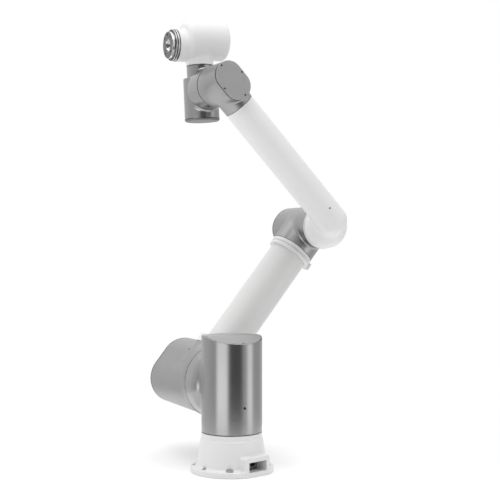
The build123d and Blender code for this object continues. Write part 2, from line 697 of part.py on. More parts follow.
with BuildPart() as tool_flange_disc:
    with BuildSketch(sixth(-nose_x + gap + 10.4)):
        Circle(disc_r)
    extrude(amount=flange_face - (-nose_x + gap + 10.4))
    chamfer(faces().sort_by(Axis.X)[0].edges(), 0.8)
    with BuildSketch(sixth(flange_face - 6.0)):
        Circle(15.75)
    extrude(amount=20, mode=Mode.SUBTRACT)
    with BuildSketch(sixth(flange_face - 7.2)):
        Circle(10.0)
    extrude(amount=20, mode=Mode.SUBTRACT)
    with BuildSketch(sixth(0)):
        with PolarLocations(tool_pcd / 2, 4, start_angle=45):
            Circle(2.5)
    extrude(amount=100, mode=Mode.SUBTRACT)
    with BuildSketch(sixth(0)):
        with Locations((0, -tool_pcd / 2)):
            Circle(3.0)
    extrude(amount=100, mode=Mode.SUBTRACT)
finish(tool_flange_disc.part, "tool_flange_disc")

# ---- joint internals: seal, strain-wave gear, motor with brake, drive board
# frame: joint face plane looking into the housing; cavity radius, hub radius,
# wall, gear length, motor start, motor length, board position, seal radii
drives = {
    1: (Plane(origin=(0, 0, can_z0), x_dir=(1, 0, 0), z_dir=(0, 0, 1)), 62.0, hub1_r, 6.0, 26.0, 36.0, 60.0, 102.0, 67.9, 58.0),
    2: (second(j2_y0), j2_flat - 6, hub2_r, 6.0, 30.0, 112.0, 70.0, 192.0, 84.6, 60.0),
    3: (third(j3_y0), 44.5, hub3_r, 5.0, 26.0, 36.0, 60.0, 140.0, 52.2, 40.0),
    4: (Plane(origin=(j4_x, w1_y1, j4_z), x_dir=(c3, 0, -s3), z_dir=(0, -1, 0)), w1_flat - 4, hub4_r, 4.0, 20.0, 28.0, 42.0, 76.0, 46.4, 34.0),
    5: (Plane(origin=(j4_x + s5 * w2_top, w2_y, j4_z + c5 * w2_top), x_dir=(c5, 0, -s5), z_dir=(-s5, 0, -c5)), out_r - 4, hub5_r, 4.0, 18.0, 24.0, 50.0, 96.0, 31.2, 22.0),
    6: (Plane(origin=sixth(-nose_x).origin, x_dir=(0, 1, 0), z_dir=(c5, 0, -s5)), 30.0, hub6_r, 4.0, 20.0, 62.0, 32.0, 104.0, 36.6, 26.0),
}
for n, (frame, cav, hub, wall, gear_l, mot0, mot_l, board0, seal_o, seal_i) in drives.items():
    # lip seal in the joint's gap, fixed to the housing
    with BuildPart() as joint_seal:
        with BuildSketch(frame.offset(-0.28)):
            Circle(seal_o)
            Circle(seal_i, mode=Mode.SUBTRACT)
        extrude(amount=0.26)
    finish(joint_seal.part, f"joint_{n}_seal")

    # strain-wave gear with its crossed roller bearing; the neighbour's hub runs in its bore
    with BuildPart() as joint_gear:
        with BuildSketch(frame.offset(wall + 0.05)):
            Circle(cav - 0.4)
            Circle(hub + hub_play, mode=Mode.SUBTRACT)
        extrude(amount=gear_l)
        with BuildSketch(frame.offset(wall + gear_l * 0.45)):
            Circle(cav + 1)
            Circle(cav - 2.2, mode=Mode.SUBTRACT)
        extrude(amount=gear_l * 0.15, mode=Mode.SUBTRACT)
        with BuildSketch(frame.offset(wall + gear_l - 2)):
            with PolarLocations((cav + hub) / 2 + (cav - hub) * 0.22, 8):
                Circle(min(2.2, (cav - hub) * 0.12))
        extrude(amount=4, mode=Mode.SUBTRACT)
    finish(joint_gear.part, f"joint_{n}_gear")

    # frameless motor with the brake at its back end
    with BuildPart() as joint_motor:
        with BuildSketch(frame.offset(mot0)):
            Circle(cav - 3.0)
            Circle((cav - 3.0) * 0.52, mode=Mode.SUBTRACT)
        extrude(amount=mot_l * 0.72)
        with BuildSketch(frame.offset(mot0 + mot_l * 0.72)):
            Circle((cav - 3.0) * 0.72)
            Circle((cav - 3.0) * 0.34, mode=Mode.SUBTRACT)
        extrude(amount=mot_l * 0.28)
    finish(joint_motor.part, f"joint_{n}_motor")

    # round drive and encoder board behind the brake
    with BuildPart() as joint_board:
        with BuildSketch(frame.offset(board0)):
            Circle(cav - 4.0)
            Circle(9.0, mode=Mode.SUBTRACT)
        extrude(amount=1.6)
        with BuildSketch(frame.offset(board0 + 1.6)):
            with PolarLocations(cav * 0.58, 3):
                Rectangle(cav * 0.22, cav * 0.22)
        extrude(amount=2.0)
    finish(joint_board.part, f"joint_{n}_board")
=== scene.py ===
import math
from math import sin, cos, radians

import bmesh
import bpy
import numpy as np
from mathutils import Matrix, Vector


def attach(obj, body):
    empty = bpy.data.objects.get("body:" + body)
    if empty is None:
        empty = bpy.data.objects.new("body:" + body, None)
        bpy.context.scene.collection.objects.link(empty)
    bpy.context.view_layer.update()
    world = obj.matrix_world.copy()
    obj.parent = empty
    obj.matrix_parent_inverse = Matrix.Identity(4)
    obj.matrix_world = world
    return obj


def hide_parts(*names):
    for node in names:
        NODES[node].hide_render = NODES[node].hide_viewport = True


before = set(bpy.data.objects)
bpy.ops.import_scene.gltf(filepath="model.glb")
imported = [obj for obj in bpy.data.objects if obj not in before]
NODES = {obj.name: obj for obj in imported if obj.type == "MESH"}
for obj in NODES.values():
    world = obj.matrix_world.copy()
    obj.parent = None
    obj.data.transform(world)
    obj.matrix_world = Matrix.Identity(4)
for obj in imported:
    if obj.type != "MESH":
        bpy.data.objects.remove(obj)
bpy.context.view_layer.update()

scene = bpy.context.scene

# ------------------------------------------------------------------ dimensions, mm
flange_r, flange_t = 94.0, 13.0
foot_r, neck_r = 80.5, 69.3
base_top = 88.2
bolt_pcd = 162.0
box_angle = -72.8
box_w, box_h, box_front = 71.0, 43.0, 88.0
open_w, open_h, open_z = 51.0, 22.0, 21.3
can_r, can_z0, can_z1 = 69.0, 89.2, 306.0
slope_y, slope_z = -6.0, 291.6
j2_z, j2_r, j2_flat = 195.0, 85.8, 63.0
j2_y0, j2_y1 = 73.2, 327.0
arm_y, arm_lean, arm_len = 169.0, 38.5, 462.6
tube_r = 47.6
sock0, sock1, sock_r = 62.0, 86.0, 64.0
clamp0, clamp1, clamp_r = 373.0, 392.0, 55.3
j3_r, j3_flat = 53.0, 50.0
j3_y0, j3_y1 = 93.0, 266.0
fore_y, fore_lean, fore_len, fore_r, fore_off = 17.2, -43.3, 441.5, 37.0, -2.5
elbow_r, dome_y, elbow_y1, tube_end = 53.0, 78.0, 92.4, 22.0
fore_end = 380.0
w1_r, w1_flat, w1_y0, w1_y1 = 47.5, 33.0, -41.5, 54.4
w2_y, w2_lean, w2_r = 145.0, -2.7, 41.5
w2_low, w2_high, w2_top = -71.0, 31.0, 60.5
out_r, boss_r = 32.0, 48.0
w3_h, head_r, head_up, head_end = 108.2, 47.2, 13.5, 65.0
nose_r, nose_x = 38.0, -61.5
flange_face, ring_r, disc_r = 80.0, 37.4, 31.5
gap = 0.6

s2, c2 = sin(radians(arm_lean)), cos(radians(arm_lean))
s3, c3 = sin(radians(fore_lean)), cos(radians(fore_lean))
s5, c5 = sin(radians(w2_lean)), cos(radians(w2_lean))
sb, cb = sin(radians(box_angle)), cos(radians(box_angle))
J2 = np.array([0.0, 0.0, j2_z])
J3 = np.array([arm_len * s2, 0.0, j2_z + arm_len * c2])
J4 = J3 + fore_len * np.array([s3, 0, c3])
ARM = np.array([s2, 0, c2])
FORE = np.array([s3, 0, c3])
UP5 = np.array([s5, 0, c5])
TOOL = np.array([-c5, 0, s5])
Y = np.array([0.0, 1.0, 0.0])
Z = np.array([0.0, 0.0, 1.0])
AP = J2 + Y * arm_y                                    # a point on the upper arm's axis
FP = J3 + Y * fore_y + fore_off * np.array([c3, 0, -s3])
W2 = J4 + Y * w2_y
W3 = W2 + UP5 * w3_h

# ------------------------------------------------------------------ distance fields


def axial(P, o, a):
    """Distance along the axis from o, and from the axis."""
    d = P - o
    t = d @ a
    r = np.sqrt(np.maximum((d * d).sum(-1) - t * t, 1e-12))
    return t, r


def inter(a, b, r=0.0):
    if r <= 0:
        return np.maximum(a, b)
    return np.minimum(-r, np.maximum(a, b)) + np.hypot(np.maximum(r + a, 0), np.maximum(r + b, 0))


def union(a, b, r=0.0):
    if r <= 0:
        return np.minimum(a, b)
    return np.maximum(r, np.minimum(a, b)) - np.hypot(np.maximum(r - a, 0), np.maximum(r - b, 0))


def cut(a, b, r=0.0):
    return inter(a, -b, r)


def cyl(P, o, a, r, t0, t1, rd=0.0, rd1=None):
    """Capped cylinder; rd rounds the end at t0 and rd1 the one at t1."""
    t, q = axial(P, o, a)
    rd1 = rd if rd1 is None else rd1
    d = inter(q - r, t0 - t, rd)
    return inter(d, t - t1, rd1)


def flat_cyl(P, o, a, u, r, f, t0, t1, rd=0.0, corner=8.0):
    """A cylinder with two flats, f each side of its axis along u."""
    t, q = axial(P, o, a)
    x = (P - o) @ u
    d = inter(q - r, np.abs(x) - f, corner)
    return inter(inter(d, t0 - t, rd), t - t1, rd)


def slot_cyl(P, o, a, u, r, f, t0, t1, rd=0.0):
    """An obround prism: round ends of radius f, and r from its axis at the ends."""
    t, q = axial(P, o, a)
    p = P - o
    x, y = p @ u, p @ np.cross(a, u)
    d = np.hypot(x, np.maximum(np.abs(y) - (r - f), 0)) - f
    return inter(inter(d, t0 - t, rd), t - t1, rd)


def slab(P, o, n):
    """Negative on the side that n points away from."""
    return (P - o) @ n


def box2(x, y, hx, hy, rd):
    qx, qy = np.abs(x) - hx + rd, np.abs(y) - hy + rd
    return np.minimum(np.maximum(qx, qy), 0) + np.hypot(np.maximum(qx, 0), np.maximum(qy, 0)) - rd


def poly2(x, y, pts):
    """Signed distance to a closed polygon."""
    d = np.full(x.shape, 1e18)
    s = np.ones(x.shape)
    n = len(pts)
    for i in range(n):
        (ax, ay), (bx, by) = pts[i], pts[(i + n - 1) % n]
        ex, ey = bx - ax, by - ay
        wx, wy = x - ax, y - ay
        h = np.clip((wx * ex + wy * ey) / (ex * ex + ey * ey), 0, 1)
        qx, qy = wx - ex * h, wy - ey * h
        d = np.minimum(d, qx * qx + qy * qy)
        c1, c2_, c3_ = y >= ay, y < by, ex * wy > ey * wx
        flip = (c1 & c2_ & c3_) | (~c1 & ~c2_ & ~c3_)
        s = np.where(flip, -s, s)
    return s * np.sqrt(d)


def mesh_from_field(name, f, lo, hi, step, relax=2):
    """A closed mesh on f = 0, by surface nets, with its points moved onto the surface."""
    lo, hi = np.array(lo, float) - 2.5 * step, np.array(hi, float) + 2.5 * step
    n = np.ceil((hi - lo) / step).astype(int) + 1
    xs = [lo[i] + step * np.arange(n[i]) for i in range(3)]
    G = np.empty(n)
    for i in range(0, n[0], 24):
        X, Yg, Zg = np.meshgrid(xs[0][i:i + 24], xs[1], xs[2], indexing="ij")
        G[i:i + 24] = f(np.stack([X, Yg, Zg], -1).reshape(-1, 3)).reshape(X.shape)
    S = G < 0
    c = [n[0] - 1, n[1] - 1, n[2] - 1]
    count = np.zeros(c, int)
    for dx in (0, 1):
        for dy in (0, 1):
            for dz in (0, 1):
                count += S[dx:dx + c[0], dy:dy + c[1], dz:dz + c[2]]
    active = (count > 0) & (count < 8)
    idx = np.full(c, -1)
    cells = np.argwhere(active)
    idx[active] = np.arange(len(cells))
    acc = np.zeros((len(cells), 3))
    num = np.zeros(len(cells))
    corners = [(i, j, k) for i in (0, 1) for j in (0, 1) for k in (0, 1)]
    for a in corners:
        for ax in range(3):
            if a[ax]:
                continue
            b = list(a); b[ax] = 1
            ga = G[cells[:, 0] + a[0], cells[:, 1] + a[1], cells[:, 2] + a[2]]
            gb = G[cells[:, 0] + b[0], cells[:, 1] + b[1], cells[:, 2] + b[2]]
            hit = (ga < 0) != (gb < 0)
            t = np.where(hit, ga / np.where(hit, ga - gb, 1), 0)
            p = np.tile(np.array(a, float), (len(cells), 1))
            p[:, ax] = t
            acc[hit] += p[hit]
            num[hit] += 1
    V = lo + step * (cells + acc / num[:, None])
    quads = []
    for ax in range(3):
        o1, o2 = [(1, 2), (2, 0), (0, 1)][ax]
        A = S.take(range(n[ax] - 1), axis=ax)
        B = S.take(range(1, n[ax]), axis=ax)
        e = np.argwhere(A != B)
        up = A[tuple(e.T)]
        ok = (e[:, o1] > 0) & (e[:, o2] > 0) & (e[:, o1] < n[o1] - 1) & (e[:, o2] < n[o2] - 1)
        e, up = e[ok], up[ok]
        q = []
        for d1, d2 in ((0, 0), (1, 0), (1, 1), (0, 1)):
            k = e.copy()
            k[:, o1] -= d1
            k[:, o2] -= d2
            q.append(idx[tuple(k.T)])
        q = np.stack(q, 1)
        q[~up] = q[~up][:, ::-1]
        quads.append(q)
    Q = np.concatenate(quads)
    # even out the points, then put them back on the surface
    E = np.concatenate([Q[:, [0, 1]], Q[:, [1, 2]], Q[:, [2, 3]], Q[:, [3, 0]]])

    def snap(V, times):
        h = 0.02
        for _ in range(times):
            d = f(V)
            g = np.stack([f(V + h * np.eye(3)[i]) - f(V - h * np.eye(3)[i]) for i in range(3)], 1) / (2 * h)
            g2 = np.maximum((g * g).sum(1), 0.05)
            m = (d / g2)[:, None] * g
            ln = np.linalg.norm(m, axis=1, keepdims=True)
            V = V - m * np.minimum(1, 0.6 * step / np.maximum(ln, 1e-9))
        return V
    V = snap(V, 2)
    for _ in range(relax):
        s = np.zeros_like(V); k = np.zeros(len(V))
        for a, b in ((0, 1), (1, 0)):
            np.add.at(s, E[:, a], V[E[:, b]])
            np.add.at(k, E[:, a], 1)
        V = snap(V + 0.5 * (s / k[:, None] - V), 2)
    me = bpy.data.meshes.new(name)
    me.vertices.add(len(V))
    me.vertices.foreach_set("co", (V / 1000).astype(np.float32).ravel())
    me.loops.add(4 * len(Q))
    me.loops.foreach_set("vertex_index", Q.astype(np.int32).ravel())
    me.polygons.add(len(Q))
    me.polygons.foreach_set("loop_start", np.arange(0, 4 * len(Q), 4, dtype=np.int32))
    me.update(calc_edges=True)
    me.validate()
    me.polygons.foreach_set("use_smooth", np.ones(len(me.polygons), bool))
    ob = bpy.data.objects.new(name, me)
    scene.collection.objects.link(ob)
    # shading normals straight from the field, so rounded edges shade as rounded edges
    h = 0.25
    g = np.stack([f(V + h * np.eye(3)[i]) - f(V - h * np.eye(3)[i]) for i in range(3)], 1)
    g /= np.maximum(np.linalg.norm(g, axis=1, keepdims=True), 1e-9)
    if len(me.vertices) == len(V):
        me.normals_split_custom_set_from_vertices([tuple(v) for v in g])
    return ob


def ring_mesh(name, profile, o, a, x, n=160):
    """Turned piece: profile is a closed list of (radius, distance along a)."""
    y = np.cross(a, x)
    V, F = [], []
    m = len(profile)
    for i in range(n):
        t = 2 * math.pi * i / n
        e = cos(t) * x + sin(t) * y
        for r, h in profile:
            V.append((o + a * h + e * r) / 1000)
    for i in range(n):
        j = (i + 1) % n
        for k in range(m):
            l = (k + 1) % m
            F.append((i * m + k, j * m + k, j * m + l, i * m + l))
    me = bpy.data.meshes.new(name)
    me.from_pydata([tuple(v) for v in V], [], F)
    bm = bmesh.new()
    bm.from_mesh(me)
    bmesh.ops.remove_doubles(bm, verts=bm.verts, dist=1e-6)
    bmesh.ops.recalc_face_normals(bm, faces=bm.faces)
    bm.to_mesh(me)
    bm.free()
    ob = bpy.data.objects.new(name, me)
    scene.collection.objects.link(ob)
    smooth(ob, 28)
    return ob


def smooth(ob, angle=30):
    for p in ob.data.polygons:
        p.use_smooth = True
    bm = bmesh.new()
    bm.from_mesh(ob.data)
    for e in bm.edges:
        if len(e.link_faces) == 2 and e.calc_face_angle(0) > radians(angle):
            e.smooth = False
    bm.to_mesh(ob.data)
    bm.free()


def rounded(profile, r, seg=5):
    """The closed profile with each corner replaced by an arc of about r."""
    out = []
    n = len(profile)
    for i in range(n):
        p0, p1, p2 = (np.array(profile[(i + k) % n], float) for k in (-1, 0, 1))
        a, b = p0 - p1, p2 - p1
        la, lb = np.linalg.norm(a), np.linalg.norm(b)
        ang = math.acos(max(-1, min(1, float(a @ b) / (la * lb))))
        if ang > radians(165):
            out.append(tuple(p1))
            continue
        d = min(r / math.tan(ang / 2), 0.45 * la, 0.45 * lb)
        s, e = p1 + a / la * d, p1 + b / lb * d
        for k in range(seg + 1):
            t = k / seg
            out.append(tuple((1 - t) ** 2 * s + 2 * t * (1 - t) * p1 + t * t * e))
    return out


# ------------------------------------------------------------------ materials


def make_mat(name, build):
    m = bpy.data.materials.new(name)
    m.use_nodes = True
    nt = m.node_tree
    for nd in list(nt.nodes):
        nt.nodes.remove(nd)
    out = nt.nodes.new("ShaderNodeOutputMaterial")
    bs = nt.nodes.new("ShaderNodeBsdfPrincipled")
    nt.links.new(bs.outputs[0], out.inputs[0])
    build(nt, bs)
    return m


def noise(nt, coord, scale, detail=3.0, rough=0.55):
    n = nt.nodes.new("ShaderNodeTexNoise")
    n.inputs["Scale"].default_value = scale
    n.inputs["Detail"].default_value = detail
    n.inputs["Roughness"].default_value = rough
    nt.links.new(coord, n.inputs["Vector"])
    return n.outputs["Fac"]


def ramp(nt, fac, lo, hi, a, b):
    r = nt.nodes.new("ShaderNodeMapRange")
    r.inputs["From Min"].default_value = lo
    r.inputs["From Max"].default_value = hi
    r.inputs["To Min"].default_value = a
    r.inputs["To Max"].default_value = b
    nt.links.new(fac, r.inputs["Value"])
    return r.outputs["Result"]


def mixc(nt, fac, a, b):
    m = nt.nodes.new("ShaderNodeMix")
    m.data_type = "RGBA"
    for sock, v in ((m.inputs[6], a), (m.inputs[7], b)):
        if isinstance(v, tuple):
            sock.default_value = (*v, 1)
        else:
            nt.links.new(v, sock)
    nt.links.new(fac, m.inputs[0])
    return m.outputs[2]


def bump(nt, bs, h, strength, dist, prev=None):
    b = nt.nodes.new("ShaderNodeBump")
    b.inputs["Strength"].default_value = strength
    b.inputs["Distance"].default_value = dist
    nt.links.new(h, b.inputs["Height"])
    if prev is not None:
        nt.links.new(prev, b.inputs["Normal"])
    nt.links.new(b.outputs["Normal"], bs.inputs["Normal"])
    return b.outputs["Normal"]


def edges(nt):
    """1 on convex edges, 0 elsewhere."""
    g = nt.nodes.new("ShaderNodeNewGeometry")
    return ramp(nt, g.outputs["Pointiness"], 0.54, 0.62, 0.0, 1.0)


def coords(nt, along=None):
    """Object coordinates in metres, optionally turned so that Z lies along a direction."""
    tc = nt.nodes.new("ShaderNodeTexCoord")
    out = tc.outputs["Object"]
    if along is not None:
        mp = nt.nodes.new("ShaderNodeMapping")
        mp.vector_type = "POINT"
        q = Vector(along).rotation_difference(Vector((0, 0, 1))).to_euler()
        mp.inputs["Rotation"].default_value = q
        nt.links.new(out, mp.inputs["Vector"])
        out = mp.outputs["Vector"]
    return out


def scaled(nt, v, s):
    mp = nt.nodes.new("ShaderNodeMapping")
    mp.inputs["Scale"].default_value = s
    nt.links.new(v, mp.inputs["Vector"])
    return mp.outputs["Vector"]


def painted_dark_bands(nt, lines):
    """1 within the given half-width (mm) of the planes, each a point and a normal; the mask for the dark bands
    painted as shade at part gaps and grooves, and as a dark reflection on the flange face.
    """
    c = coords(nt)
    out = None
    for o, a, half in lines:
        n = nt.nodes.new("ShaderNodeVectorMath")
        n.operation = "DOT_PRODUCT"
        nt.links.new(c, n.inputs[0])
        n.inputs[1].default_value = tuple(float(v) for v in a)
        m = nt.nodes.new("ShaderNodeMath")
        m.operation = "SUBTRACT"
        nt.links.new(n.outputs["Value"], m.inputs[0])
        m.inputs[1].default_value = float(np.dot(o, a)) / 1000
        b = nt.nodes.new("ShaderNodeMath")
        b.operation = "ABSOLUTE"
        nt.links.new(m.outputs[0], b.inputs[0])
        f = ramp(nt, b.outputs[0], half * 0.0008, half * 0.001, 1.0, 0.0)
        if out is None:
            out = f
        else:
            k = nt.nodes.new("ShaderNodeMath")
            k.operation = "MAXIMUM"
            nt.links.new(out, k.inputs[0])
            nt.links.new(f, k.inputs[1])
            out = k.outputs[0]
    return out


def paint(name, col, dark, rough=0.38, along=None, lines=()):
    def build(nt, bs):
        c = coords(nt)
        broad = noise(nt, c, 9.0, 2.0)
        fine = noise(nt, c, 420.0, 3.0)
        micro = noise(nt, c, 1500.0, 2.0)
        base = mixc(nt, ramp(nt, broad, 0.3, 0.7, 0, 1), col, dark)
        surface_col = mixc(nt, edges(nt), base, tuple(min(1, x * 1.05) for x in col))
        # Along the given lines the colour is painted dark grey (0.22): painted shade in the gaps between parts.
        if lines:
            surface_col = mixc(nt, painted_dark_bands(nt, lines), surface_col, (0.22, 0.22, 0.22))
        nt.links.new(surface_col, bs.inputs["Base Color"])
        nt.links.new(ramp(nt, fine, 0.25, 0.75, rough - 0.05, rough + 0.07), bs.inputs["Roughness"])
        b1 = bump(nt, bs, fine, 0.10, 0.0004)
        bump(nt, bs, micro, 0.05, 0.0001, b1)
        bs.inputs["Specular IOR Level"].default_value = 0.42
        bs.inputs["Coat Weight"].default_value = 0.12
        bs.inputs["Coat Roughness"].default_value = 0.22
    return make_mat(name, build)


def turned_metal(name, col, dark, rough, along, metallic=1.0, line=900.0, strength=0.03, lines=(), painted_band_col=(0.03, 0.03, 0.03), painted_band_metal=0.0):
    """Anodised aluminium with fine turned lines round an axis."""
    def build(nt, bs):
        c = coords(nt, along)
        turned = noise(nt, scaled(nt, c, (6.0, 6.0, line)), 1.0, 3.0, 0.6)
        broad = noise(nt, coords(nt), 14.0, 3.0)
        speck = noise(nt, coords(nt), 1400.0, 2.0)
        base = mixc(nt, ramp(nt, broad, 0.3, 0.7, 0, 1), col, dark)
        surface_col = mixc(nt, edges(nt), base, tuple(min(1, x * 1.12) for x in col))
        bs.inputs["Metallic"].default_value = metallic
        # Along the given lines the colour and metallic are painted dark: painted shade at part gaps and grooves, and
        # a painted dark reflection on the flange face.
        if lines:
            painted_band_fac = painted_dark_bands(nt, lines)
            surface_col = mixc(nt, painted_band_fac, surface_col, painted_band_col)
            nt.links.new(ramp(nt, painted_band_fac, 0.0, 1.0, metallic, painted_band_metal), bs.inputs["Metallic"])
        nt.links.new(surface_col, bs.inputs["Base Color"])
        rr = nt.nodes.new("ShaderNodeMath"); rr.operation = "ADD"
        nt.links.new(ramp(nt, turned, 0.25, 0.75, rough - 0.012, rough + 0.015), rr.inputs[0])
        nt.links.new(ramp(nt, speck, 0.2, 0.8, -0.02, 0.03), rr.inputs[1])
        nt.links.new(rr.outputs[0], bs.inputs["Roughness"])
        b1 = bump(nt, bs, turned, strength, 0.00003)
        bump(nt, bs, speck, 0.03, 0.00003, b1)
    return make_mat(name, build)


def plain_metal(name, col, rough, metallic=1.0, grain=700.0, var=0.06):
    def build(nt, bs):
        c = coords(nt)
        f = noise(nt, c, grain, 3.0)
        b = noise(nt, c, 60.0, 3.0)
        base = mixc(nt, ramp(nt, b, 0.3, 0.7, 0, 1), col, tuple(x * 0.82 for x in col))
        surface_col = mixc(nt, edges(nt), base, tuple(min(1, x * 1.5 + 0.02) for x in col))
        nt.links.new(surface_col, bs.inputs["Base Color"])
        bs.inputs["Metallic"].default_value = metallic
        nt.links.new(ramp(nt, f, 0.25, 0.75, max(0.03, rough - var), rough + var), bs.inputs["Roughness"])
        bump(nt, bs, f, 0.08, 0.0001)
    return make_mat(name, build)


def plastic(name, col, rough=0.45, scale=900.0):
    def build(nt, bs):
        c = coords(nt)
        f = noise(nt, c, scale, 2.0)
        b = noise(nt, c, 40.0, 2.0)
        nt.links.new(mixc(nt, ramp(nt, b, 0.3, 0.7, 0, 1), col, tuple(x * 0.8 for x in col)), bs.inputs["Base Color"])
        nt.links.new(ramp(nt, f, 0.25, 0.75, rough - 0.06, rough + 0.1), bs.inputs["Roughness"])
        bump(nt, bs, f, 0.15, 0.0002)
    return make_mat(name, build)


WHITE = (0.735, 0.74, 0.735)
WHITE_D = (0.715, 0.72, 0.715)
GREY = (0.36, 0.36, 0.36)
GREY_D = (0.335, 0.335, 0.338)
O = np.zeros(3)
mat_white = paint("white_powder_coat", WHITE, WHITE_D)
# Head and elbow: copies of mat_white's white paint in a lighter tone, which is painted light; their lines paint dark
# bands of shade at the part gaps.
mat_head_painted_light = paint("white_powder_coat_head_painted_light", (0.80, 0.805, 0.80), (0.78, 0.785, 0.78), lines=[(W2 + UP5 * (w2_top + gap), UP5, 0.6), (W3 + TOOL * -nose_x, TOOL, 0.8)])
mat_elbow_painted_light = paint("white_powder_coat_elbow_painted_light", (0.79, 0.795, 0.79), (0.77, 0.775, 0.77), lines=[(Y * (elbow_y1 - 4.4), Y, 0.7), (FP + FORE * fore_end, FORE, 0.5)])
mat_tube = paint("light_grey_powder_coat", (0.66, 0.66, 0.655), (0.64, 0.64, 0.637), 0.34)
# The lines on the grey metals paint dark bands at the part gaps and lid edges: painted shade.
mat_can = turned_metal("grey_metal_shoulder", (0.35, 0.35, 0.35), (0.335, 0.335, 0.337), 0.24, (0, 0, 1), lines=[(Z * can_z0, Z, 1.0), (Y * (j2_y0 - gap), Y, 1.0)])
mat_j2 = turned_metal("grey_metal_joint_2", GREY, GREY_D, 0.38, (0, 1, 0), lines=[(Y * j2_y0, Y, 1.0), (Y * (j2_y1 - 5.2), Y, 0.8)])
mat_j3 = turned_metal("grey_metal_joint_3", GREY, GREY_D, 0.33, (0, 1, 0), lines=[(Y * j3_y0, Y, 0.9), (Y * (j3_y1 - 4.6), Y, 0.7), (AP + ARM * clamp1, ARM, 1.0)])
mat_w1 = turned_metal("grey_metal_wrist_1", GREY, GREY_D, 0.33, (0, 1, 0), lines=[(Y * w1_y1, Y, 1.0), (Y * (w1_y0 + 4.6), Y, 0.9), (FP + FORE * fore_end, FORE, 0.8)])
mat_w2 = turned_metal("grey_metal_wrist_2", GREY, GREY_D, 0.23, tuple(UP5), lines=[(Y * (w1_y1 + gap), Y, 0.8), (W2 + UP5 * (w2_low + 5), UP5, 0.8), (W2 + UP5 * w2_top, UP5, 0.9)])
mat_lid = turned_metal("grey_metal_lid", (0.44, 0.44, 0.44), (0.42, 0.42, 0.423), 0.42, (0, 1, 0), line=300.0,
                       lines=[(Y * (w1_y0 + 2.2), Y, 2.05), (Y * (j2_y1 - 4.8), Y, 0.9), (Y * (j3_y1 - 4.3), Y, 0.9)])
# A darker copy (0.20) of the lid metal for the downward-facing wrist 2 lid: painted shade.
mat_lid_painted_shade = turned_metal("grey_metal_lid_painted_shade", (0.20, 0.20, 0.20), (0.19, 0.19, 0.19), 0.42, tuple(UP5), line=300.0)
mat_lid_z = turned_metal("grey_metal_lid_top", (0.36, 0.36, 0.36), (0.34, 0.34, 0.343), 0.34, (0, 0, 1), line=300.0)
o6 = W3 + TOOL * (-nose_x + gap)
# Dark bands at the ring's joint, groove and front edge: painted shade.
mat_chrome = turned_metal("polished_steel", (0.62, 0.62, 0.63), (0.55, 0.55, 0.56), 0.10, tuple(TOOL), line=1400.0, strength=0.03,
                          lines=[(o6, TOOL, 1.4), (o6 + TOOL * 5.75, TOOL, 1.3), (o6 + TOOL * 10.3, TOOL, 0.9)])
# Bright turned steel whose front face is painted dark (0.14): a painted dark reflection.
mat_disc = turned_metal("turned_steel_painted_dark_face", (0.72, 0.72, 0.73), (0.66, 0.66, 0.67), 0.16, tuple(TOOL), line=1400.0, strength=0.05,
                        lines=[(W3 + TOOL * flange_face, TOOL, 0.7)], painted_band_col=(0.14, 0.14, 0.145), painted_band_metal=1.0)
mat_screw = plain_metal("black_oxide_steel", (0.045, 0.045, 0.05), 0.38)
mat_gear = plain_metal("ground_steel", (0.52, 0.52, 0.53), 0.25)
mat_motor = plain_metal("motor_windings", (0.38, 0.2, 0.11), 0.42, 0.8, 260.0)
mat_seal = plastic("seal_rubber", (0.02, 0.02, 0.021), 0.62)
mat_board = plastic("board_mask", (0.02, 0.14, 0.05), 0.35, 500.0)
mat_socket = plastic("socket_plastic", (0.012, 0.012, 0.013), 0.4)
mat_panel = plain_metal("blasted_plate", (0.22, 0.22, 0.225), 0.5)


def set_mat(ob, m):
    if len(ob.data.materials) == 0:
        ob.data.materials.append(m)
    for i in range(len(ob.data.materials)):
        ob.data.materials[i] = m
    for i in range(len(ob.material_slots)):
        ob.material_slots[i].material = m


def stand_for(ob, node, body, m):
    ob.data.materials.append(m)
    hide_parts(node)
    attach(ob, body)


for n, ob in NODES.items():
    if n.endswith("_seal"):
        set_mat(ob, mat_seal)
    elif n.endswith("_gear"):
        set_mat(ob, mat_gear)
    elif n.endswith("_motor"):
        set_mat(ob, mat_motor)
    elif n.endswith("_board"):
        set_mat(ob, mat_board)
    elif "screw" in n:
        set_mat(ob, mat_screw)
    elif "socket" in n:
        set_mat(ob, mat_socket)
    elif n == "base_connector_panel":
        set_mat(ob, mat_panel)
    elif n == "wrist_2_lid":
        set_mat(ob, mat_lid_painted_shade)
    elif n == "upper_arm_tube":
        set_mat(ob, mat_tube)
    elif n == "shoulder_lid":
        set_mat(ob, mat_lid_z)
    elif n.endswith("_lid"):
        set_mat(ob, mat_lid)
    elif n == "tool_flange_disc":
        set_mat(ob, mat_disc)
    elif n == "tool_flange_ring":
        set_mat(ob, mat_chrome)
    elif n in ("shoulder_housing",):
        set_mat(ob, mat_can)
    elif n == "wrist_2_housing":
        set_mat(ob, mat_w2)
    elif n in ("joint_2_housing", "joint_3_housing", "wrist_1_housing"):
        set_mat(ob, mat_w1)
    else:
        set_mat(ob, mat_white)

# ------------------------------------------------------------------ base
BOXN = np.array([cb, sb, 0.0])
BOXU = np.array([-sb, cb, 0.0])
base_profile = [(flange_r, 0), (flange_r, flange_t), (foot_r + 2.2, flange_t), (foot_r, flange_t + 2.2),
                (neck_r + 1.2, base_top - 13.0), (neck_r, base_top - 11.2), (neck_r, base_top),
                (22.0, base_top), (22.0, 70.0), (56.0, 64.0), (60.0, 50.0), (60.0, 5.0), (64.0, 5.0), (64.0, 0)]


